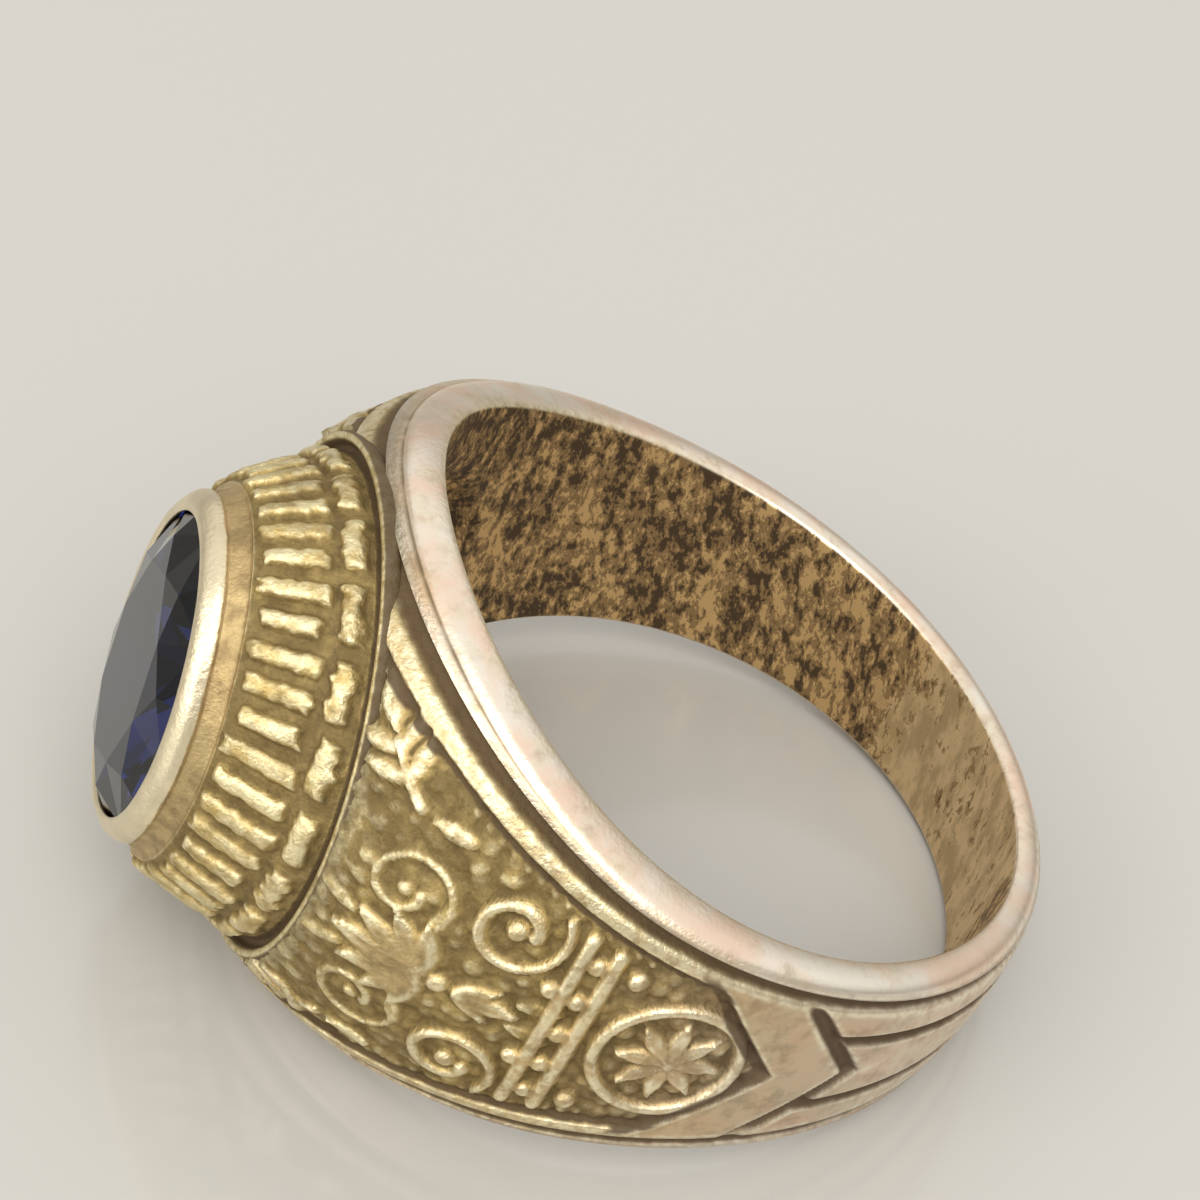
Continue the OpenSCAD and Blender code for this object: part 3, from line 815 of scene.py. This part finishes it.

# %% [markdown]
# ## Shader groups
#
# The looks are made of a few shared groups, each with named inputs and outputs that carry only colours,
# masks, values and heights. The groups: masks for dirt with painted shade and for polish with a painted
# highlight, old silver, the tarnished bore, and the table's top. Lengths in them are millimetres, and noise
# scales are bumps for each millimetre.

# %% Short calls for wiring nodes
class Wires:
    """Makes nodes in one tree. A value may be a number, a colour or another node's output."""

    def __init__(self, tree):
        self.tree = tree

    def node(self, kind, values=None, **settings):
        made = self.tree.nodes.new(kind)
        for name, value in settings.items():
            setattr(made, name, value)
        for key, value in (values or {}).items():
            self.feed(made.inputs[key], value)
        return made

    def feed(self, socket, value):
        if isinstance(value, bpy.types.NodeSocket):
            self.tree.links.new(value, socket)
        else:
            socket.default_value = value

    def math(self, operation, a, b=0.0, c=0.0):
        return self.node("ShaderNodeMath", {0: a, 1: b, 2: c}, operation=operation).outputs[0]

    def times(self, a, b):
        return self.math("MULTIPLY", a, b)

    def scaled(self, value, by, plus):
        return self.math("MULTIPLY_ADD", value, by, plus)

    def blend(self, share, a, b):
        made = self.node("ShaderNodeMix", {0: share, 6: a, 7: b}, data_type="RGBA")
        return made.outputs[2]

    def between(self, share, a, b):
        made = self.node("ShaderNodeMix", {0: share, 2: a, 3: b}, data_type="FLOAT")
        return made.outputs[0]

    def step(self, value, start, stop, low=0.0, high=1.0):
        made = self.node("ShaderNodeMapRange", {0: value, 1: start, 2: stop, 3: low, 4: high})
        made.interpolation_type = "SMOOTHSTEP"
        return made.outputs[0]

    def noise(self, vector, scale, detail=2.0, roughness=0.5, distortion=0.0):
        values = {"Vector": vector, "Scale": scale, "Detail": detail, "Roughness": roughness}
        made = self.node("ShaderNodeTexNoise", {**values, "Distortion": distortion})
        return made.outputs["Fac"]

    def stretched(self, vector, scale):
        made = self.node("ShaderNodeVectorMath", {0: vector, 1: scale}, operation="MULTIPLY")
        return made.outputs[0]


SOCKETS = {"value": "NodeSocketFloat", "colour": "NodeSocketColor", "vector": "NodeSocketVector"}
METAL = {"Colour": "colour", "Roughness": "value", "Metallic": "value", "Height": "value"}


def shader_group(name, takes, gives):
    """A group with named inputs, each with its usual value, and named outputs, each with its kind.

    An input without a usual value is a vector, and one with three numbers is a colour.
    """
    tree = bpy.data.node_groups.new(name, "ShaderNodeTree")
    for label, usual in takes.items():
        kind = "vector" if usual is None else "colour" if isinstance(usual, tuple) else "value"
        socket = tree.interface.new_socket(label, in_out="INPUT", socket_type=SOCKETS[kind])
        if usual is not None:
            socket.default_value = (*usual, 1) if kind == "colour" else usual
    for label, kind in gives.items():
        tree.interface.new_socket(label, in_out="OUTPUT", socket_type=SOCKETS[kind])
    wires = Wires(tree)
    return tree, wires, wires.node("NodeGroupInput").outputs, wires.node("NodeGroupOutput").inputs


# %% Group: where dirt and painted shade lie, and where metal is polished and given a painted highlight
masks, wire, takes, gives = shader_group(
    "wear masks",
    {"Place": None, "Recess": 0.0, "Crest": 0.0, "Sunk From": 0.07, "Sunk To": 0.25},
    {"Dirt And Shade": "value", "Polish And Highlight": "value"},
)
here = takes["Place"]
patches = wire.noise(here, 1.7, 4, 0.6)
uneven = wire.scaled(patches, 0.22, -0.11)
# Dirt: tarnish stays in recesses and creases, and the same darkening stands in as painted shade there
sunk = wire.step(wire.math("ADD", takes["Recess"], uneven), takes["Sunk From"], takes["Sunk To"])
crease = wire.step(wire.times(takes["Crest"], -1), 0.02, 0.75)
# Polish rubs the crests, and the same mask also paints a highlight on them
rubbed_and_highlight = wire.step(wire.noise(here, 3.1, 3, 0.6), 0.34, 0.6, 0.2, 0.9)
wire.feed(gives["Polish And Highlight"], wire.times(wire.step(takes["Crest"], 0.04, 0.75), rubbed_and_highlight))
pits = wire.times(sunk, wire.step(wire.noise(here, 3.6, 4, 0.65), 0.56, 0.42))
both = wire.math("MAXIMUM", wire.math("MAXIMUM", wire.times(sunk, 0.85), crease), pits)
wire.feed(gives["Dirt And Shade"], wire.times(both, wire.step(patches, 0.25, 0.6, 0.6, 1)))

# %% Group: old silver, rosy where it is rubbed white with a painted highlight, and gilt on the ornament
silver, wire, takes, gives = shader_group(
    "old silver",
    {
        "Place": None, "Gilt": 0.0, "Dirt And Shade": 0.0, "Polish And Highlight": 0.0, "Soot": 0.0, "Rubbed And Highlight": 0.0,
        "White Metal": (0.7, 0.58, 0.43),
        "Rosy Metal": (0.76, 0.54, 0.39),
        "Gilt Metal": (0.58, 0.43, 0.17),
        "Polished Highlight Metal": (0.99, 0.93, 0.74),
        "Polished Highlight Gilt": (1.0, 0.9, 0.58),
        "Rubbed Highlight White": (0.99, 0.92, 0.81),
        "Rubbed Highlight Rosy": (0.98, 0.75, 0.59),
        "Dirt And Shade Colour": (0.08, 0.045, 0.017),
        "Gilt Dirt And Shade": (0.13, 0.085, 0.022),
    },
    METAL,
)
here = takes["Place"]
# The bare metal: white and rosy in blotches, or gilt
blotches = wire.step(wire.noise(here, 0.42, 3, 0.6, 0.4), 0.34, 0.64)
white = wire.blend(wire.times(blotches, 0.8), takes["White Metal"], takes["Rosy Metal"])
metal = wire.blend(takes["Gilt"], white, takes["Gilt Metal"])
# A thin dull film lies on it, thicker on the gilt
film = wire.noise(here, 1.3, 4, 0.62)
dull = wire.step(film, 0.42, 0.66)
thick = wire.scaled(takes["Gilt"], 0.25, 0.36)
filmed = wire.blend(0.7, metal, takes["Dirt And Shade Colour"])
metal = wire.blend(wire.times(dull, thick), metal, filmed)
# Crests are polished and painted with a highlight, and what is rubbed is worn through the film and
# lightened with a painted highlight
polished_highlight = wire.blend(takes["Gilt"], takes["Polished Highlight Metal"], takes["Polished Highlight Gilt"])
metal = wire.blend(wire.times(takes["Polish And Highlight"], 0.8), metal, polished_highlight)
worn = wire.step(wire.noise(here, 0.9, 4, 0.65), 0.34, 0.56, 0.3, 1)
worn_through_and_highlight = wire.times(takes["Rubbed And Highlight"], worn)
metal = wire.blend(worn_through_and_highlight, metal, wire.blend(blotches, takes["Rubbed Highlight White"], takes["Rubbed Highlight Rosy"]))
# Dirt and painted shade are warmer on the gilt, but not in the sooty lines
warm_dirt_and_shade = wire.times(takes["Gilt"], wire.math("SUBTRACT", 1.0, takes["Soot"]))
grime_and_shade = wire.blend(warm_dirt_and_shade, takes["Dirt And Shade Colour"], takes["Gilt Dirt And Shade"])
wire.feed(gives["Colour"], wire.blend(wire.times(takes["Dirt And Shade"], 0.92), metal, grime_and_shade))
polish = wire.math("MAXIMUM", takes["Polish And Highlight"], wire.times(worn_through_and_highlight, 0.7))
satin = wire.scaled(takes["Gilt"], 0.08, 0.26)
roughness = wire.between(polish, wire.scaled(film, 0.3, satin), satin)
wire.feed(gives["Roughness"], wire.between(takes["Dirt And Shade"], roughness, 0.68))
wire.feed(gives["Metallic"], wire.scaled(takes["Dirt And Shade"], -0.8, 1.0))
scratches = wire.noise(wire.stretched(here, (2.0, 14.0, 5.0)), 1.0, 2, 0.6)
fine = wire.noise(here, 7.0, 4, 0.6)
fine_height = wire.times(fine, wire.scaled(takes["Gilt"], 0.1, 0.003))
wire.feed(gives["Height"], wire.math("ADD", fine_height, wire.times(scratches, 0.004)))

# %% Group: the tarnished inside of the band
tarnish, wire, takes, gives = shader_group(
    "bore tarnish",
    {
        "Flow": None, "Around": 0.0, "Clean From": 24.0, "Clean To": 26.5,
        "Soot": (0.075, 0.045, 0.02),
        "Brown": (0.31, 0.195, 0.08),
        "Tan": (0.78, 0.55, 0.26),
        "Clean Metal": (0.82, 0.64, 0.38),
    },
    METAL,
)
flow = takes["Flow"]
coarse = wire.noise(flow, 0.8, 3, 0.5, 0.3)
spots = wire.noise(flow, 3.3, 5, 0.68, 0.25)
grain = wire.noise(flow, 11.0, 3, 0.6)
grain_part = wire.scaled(grain, 0.22, -0.11)
level = wire.math("ADD", wire.scaled(coarse, 0.4, -0.2), grain_part)
level = wire.math("ADD", level, spots)
# The tarnish clears raggedly towards the back, and the bore is a little darker towards the upper rim
ragged = wire.scaled(wire.noise(flow, 0.9, 4, 0.7), 5.0, -2.5)
clean = wire.step(wire.math("ADD", takes["Around"], ragged), takes["Clean From"], takes["Clean To"])
level = wire.math("ADD", level, wire.times(clean, 0.15))
along = wire.node("ShaderNodeSeparateXYZ", {0: flow}).outputs[2]
level = wire.math("SUBTRACT", level, wire.step(along, 0.0, 3.5, 0, 0.05))
brown = wire.step(level, 0.41, 0.48)
tan = wire.step(level, 0.525, 0.585)
stain = wire.step(wire.noise(flow, 1.6, 4, 0.65), 0.4, 0.62, 0, 0.45)
light = wire.blend(clean, takes["Tan"], wire.blend(stain, takes["Clean Metal"], takes["Brown"]))
wire.feed(gives["Colour"], wire.blend(tan, wire.blend(brown, takes["Soot"], takes["Brown"]), light))
wire.feed(gives["Roughness"], wire.between(tan, 0.62, 0.6))
wire.feed(gives["Metallic"], wire.between(tan, 0.35, 0.9))
wire.feed(gives["Height"], wire.scaled(tan, 0.03, wire.times(grain, 0.015)))

# %% Group: the table's top
top, wire, takes, gives = shader_group(
    "table top",
    {"Place": None, "Pale": (0.535, 0.53, 0.51), "Warm": (0.52, 0.508, 0.475)},
    {"Colour": "colour", "Roughness": "value", "Height": "value"},
)
here = takes["Place"]
cloud = wire.noise(here, 0.012, 3, 0.5)
wire.feed(gives["Colour"], wire.blend(cloud, takes["Pale"], takes["Warm"]))
wire.feed(gives["Roughness"], wire.scaled(wire.noise(here, 0.3, 3), 0.06, 0.12))
wire.feed(gives["Height"], wire.times(wire.noise(here, 0.06, 2), 0.05))

print("groups:", sorted(g.name for g in bpy.data.node_groups))

# %% [markdown]
# ## Materials
#
# The casting's two skins share one material: the masks and the old silver outside, the tarnish in the bore.
# The stone is a deep blue glass with polished facets. Each shader's steady numbers sit on its own sockets.

# %% Material helpers
def material(name):
    """A material with its wires, its shader's inputs and the place on the object in millimetres."""
    made = bpy.data.materials.new(name)
    made.use_nodes = True
    wires = Wires(made.node_tree)
    shader = made.node_tree.nodes["Principled BSDF"]
    in_m = wires.node("ShaderNodeTexCoord").outputs["Object"]
    in_mm = wires.stretched(in_m, (1 / MM, 1 / MM, 1 / MM))
    return made, wires, shader.inputs, in_mm


def value_of(wires, name):
    return wires.node("ShaderNodeAttribute", attribute_name=name).outputs["Fac"]


def use_group(wires, tree, values):
    return wires.node("ShaderNodeGroup", values, node_tree=tree).outputs


# %% The casting
ring_metal, wire, shader, place_mm = material("worn_silver")
kept = {name: value_of(wire, name) for name in band_marks}
crest_here, gilt_here = value_of(wire, "crest"), value_of(wire, "gilt")
wear = use_group(wire, masks, {"Place": place_mm, "Recess": kept["recess"], "Crest": crest_here})
# The lip is polished and painted with a highlight but for a ragged border, and so are the tops of the bars
# and the motifs
lip_here = wire.math("ADD", value_of(wire, "lip"), -0.45)
ragged_lip = wire.scaled(wire.noise(place_mm, 1.4, 4, 0.65), 0.9, lip_here)
lip_polish_and_highlight = wire.step(ragged_lip, 0.4, 0.62, 0, 0.72)
top_patches = wire.step(wire.noise(place_mm, 1.1, 4, 0.6), 0.36, 0.6)
tops = wire.times(wire.step(kept["raised"], 0.45, 0.95), top_patches)
top_polish_and_highlight = wire.times(tops, wire.scaled(gilt_here, 0.8, 0.1))
polish_and_highlight = wire.math("MAXIMUM", wear["Polish And Highlight"], wire.math("MAXIMUM", lip_polish_and_highlight, top_polish_and_highlight))
smudge = wire.scaled(wire.noise(place_mm, 2.2, 4, 0.65), 0.5, -0.25)
# Soot lies in the grooves, and on the collar's side the same mark is painted shade
soot_and_collar_shade_here = wire.step(wire.math("ADD", kept["soot_and_collar_shade"], smudge), 0.15, 0.85)
# Painted shade: the seat under the stone, marked hollow, is darkened with the dirt
seat_shade = wire.times(kept["hollow"], 0.9)
dirt_and_shade = wire.math("MAXIMUM", wear["Dirt And Shade"], wire.math("MAXIMUM", soot_and_collar_shade_here, seat_shade))
outer = use_group(wire, silver, {
    "Place": place_mm, "Gilt": gilt_here, "Dirt And Shade": dirt_and_shade, "Polish And Highlight": polish_and_highlight, "Soot": soot_and_collar_shade_here,
    "Rubbed And Highlight": kept["rubbed_and_highlight"],
})
flow_here = wire.node("ShaderNodeAttribute", attribute_name="flow").outputs["Vector"]
inner = use_group(wire, tarnish, {"Flow": flow_here, "Around": value_of(wire, "around")})
bore_here = kept["inside"]
wire.feed(shader["Base Color"], wire.blend(bore_here, outer["Colour"], inner["Colour"]))
for part in ("Roughness", "Metallic"):
    wire.feed(shader[part], wire.between(bore_here, outer[part], inner[part]))
height = wire.between(bore_here, outer["Height"], inner["Height"])
bump = wire.node("ShaderNodeBump", {"Height": height, "Distance": MM, "Strength": 0.6})
wire.feed(shader["Normal"], bump.outputs[0])
for piece in (band, head):
    piece.data.materials.append(ring_metal)
print("nodes of the casting:", len(ring_metal.node_tree.nodes))

# %% The stone
gem, wire, shader, place_mm = material("deep_blue_stone")
BLUE, DEEP_BLUE = (0.02, 0.034, 0.2, 1), (0.012, 0.02, 0.13, 1)
wire.feed(shader["Base Color"], wire.blend(wire.noise(place_mm, 0.25, 2), BLUE, DEEP_BLUE))
wire.feed(shader["Roughness"], wire.scaled(wire.noise(place_mm, 2.5, 3), 0.05, 0.0))
wire.feed(shader["IOR"], 1.46)
wire.feed(shader["Transmission Weight"], 1.0)
stone.data.materials.clear()
stone.data.materials.append(gem)
print("stone facets:", len(stone.data.polygons))

# %% [markdown]
# ## The table, the light and the camera
#
# A pale glossy table, a soft room that is much brighter overhead than at the sides, and two soft boxes.
# The camera stands where the photograph was taken from, found from the ring's own ovals.

# %% A glossy pale table
def pale_table(half=0.6):
    mesh = bpy.data.meshes.new("table")
    corners = [(-half, -half, 0), (half, -half, 0), (half, half, 0), (-half, half, 0)]
    mesh.from_pydata(corners, [], [(0, 1, 2, 3)])
    piece = bpy.data.objects.new("table", mesh)
    bpy.context.scene.collection.objects.link(piece)
    piece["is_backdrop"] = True
    return piece


table = pale_table()
table_top, wire, shader, place_mm = material("table_top")
made = use_group(wire, top, {"Place": place_mm})
wire.feed(shader["Base Color"], made["Colour"])
wire.feed(shader["Roughness"], made["Roughness"])
wire.feed(shader["IOR"], 1.6)
bump = wire.node("ShaderNodeBump", {"Height": made["Height"], "Distance": MM, "Strength": 0.1})
wire.feed(shader["Normal"], bump.outputs[0])
table.data.materials.append(table_top)
print("table:", tuple(round(side, 2) for side in table.dimensions))

# %% The room: plain warm walls, much brighter overhead
WALLS, CEILING = (0.32, 0.295, 0.26, 1), (0.93, 0.91, 0.87, 1)
room = bpy.data.worlds.new("room")
room.use_nodes = True
bpy.context.scene.world = room
wire = Wires(room.node_tree)
direction = wire.node("ShaderNodeTexCoord").outputs["Generated"]
up_share = wire.step(wire.node("ShaderNodeSeparateXYZ", {0: direction}).outputs[2], 0.0, 0.55)
wire.feed(room.node_tree.nodes["Background"].inputs["Color"], wire.blend(up_share, WALLS, CEILING))
print("room:", room.name)

# %% Soft boxes
# Places and sizes in metres, power in watts
SOFT_BOXES = {
    "window": {"at": (0.42, 0.2, 0.2), "size": 0.32, "power": 0.85, "colour": (1, 0.985, 0.94)},
    "overhead": {"at": (0.03, 0.3, 0.42), "size": 0.34, "power": 1.25, "colour": (1, 0.98, 0.95)},
}


def soft_box(name, at, size, power, colour):
    """A square light that faces the ring, which lies at the origin."""
    light = bpy.data.lights.new(name, "AREA")
    light.shape, light.size, light.energy, light.color = "SQUARE", size, power, colour
    box = bpy.data.objects.new(name, light)
    box.location = Vector(at)
    box.rotation_euler = (-Vector(at)).to_track_quat("-Z", "Y").to_euler()
    bpy.context.scene.collection.objects.link(box)
    return box


boxes = [soft_box(name, **values) for name, values in SOFT_BOXES.items()]
print("soft boxes:", [box.name for box in boxes])

# %% The camera
# Its place in mm, where it looks, where its right side points, and its lens and sensor in mm
CAMERA_AT = (16.993, 55.997, 63.083)
LOOKING = (-0.2124, -0.71447, -0.66664)
TO_RIGHT = (-0.97716, 0.15037, 0.15018)
LENS, SENSOR = 90.07, 36


def photo_camera():
    forward = Vector(LOOKING).normalized()
    right = Vector(TO_RIGHT)
    right = (right - forward * right.dot(forward)).normalized()
    lens = bpy.data.cameras.new("camera")
    lens.lens, lens.sensor_width, lens.clip_start = LENS, SENSOR, 0.002
    camera = bpy.data.objects.new("camera", lens)
    turn = Matrix((right, right.cross(forward), -forward)).transposed().to_4x4()
    turn.translation = Vector(CAMERA_AT) * MM
    camera.matrix_world = turn
    bpy.context.scene.collection.objects.link(camera)
    bpy.context.scene.camera = camera
    return camera


print("camera at", [round(c, 4) for c in photo_camera().matrix_world.translation])
bpy.context.scene.view_settings.view_transform = "Standard"

# %% [markdown]
# ## The end
#
# The box of the imported part and the box of what is shown are printed side by side.

# %% Sizes, and the end
SHOWN_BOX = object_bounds()
for name, (low, high) in (("packed", CAD_BOX), ("shown", SHOWN_BOX)):
    print(name, [round((b - a) / MM, 2) for a, b in zip(low, high)], "mm")
